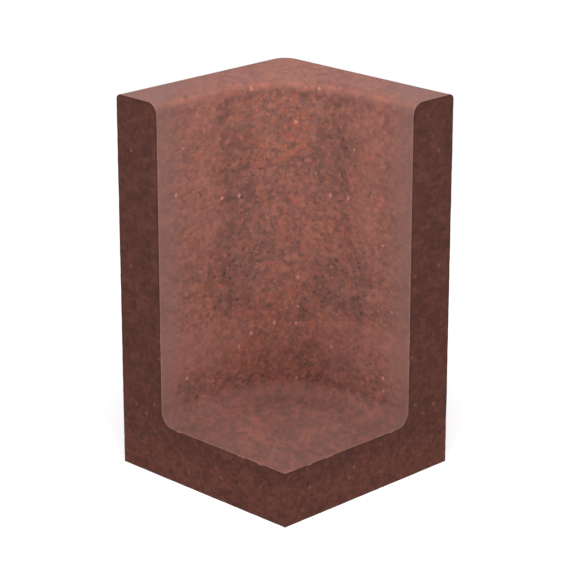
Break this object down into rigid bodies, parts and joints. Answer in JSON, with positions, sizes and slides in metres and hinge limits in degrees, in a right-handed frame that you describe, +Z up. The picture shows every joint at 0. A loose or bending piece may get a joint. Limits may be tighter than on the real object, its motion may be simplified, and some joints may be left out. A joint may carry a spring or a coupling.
{
  "type": "l-shaped retaining wall corner block",
  "caption": "Cast concrete block of L-shaped section for the corner of a low retaining wall: upright walls at a right angle on a square foot, with rounded tops.",
  "frame": {"origin": "on the ground, under the middle of the square plan", "axes": "+Z up; the upright walls stand along the +X and +Y sides and meet at the outer corner, and the open side of the foot looks towards -X and -Y"},
  "size_m": [0.24, 0.24, 0.4],
  "materials": {
    "concrete": "matte"
  },
  "bodies": {
    "root": {"corner_block": "concrete"}
  },
  "joints": []
}
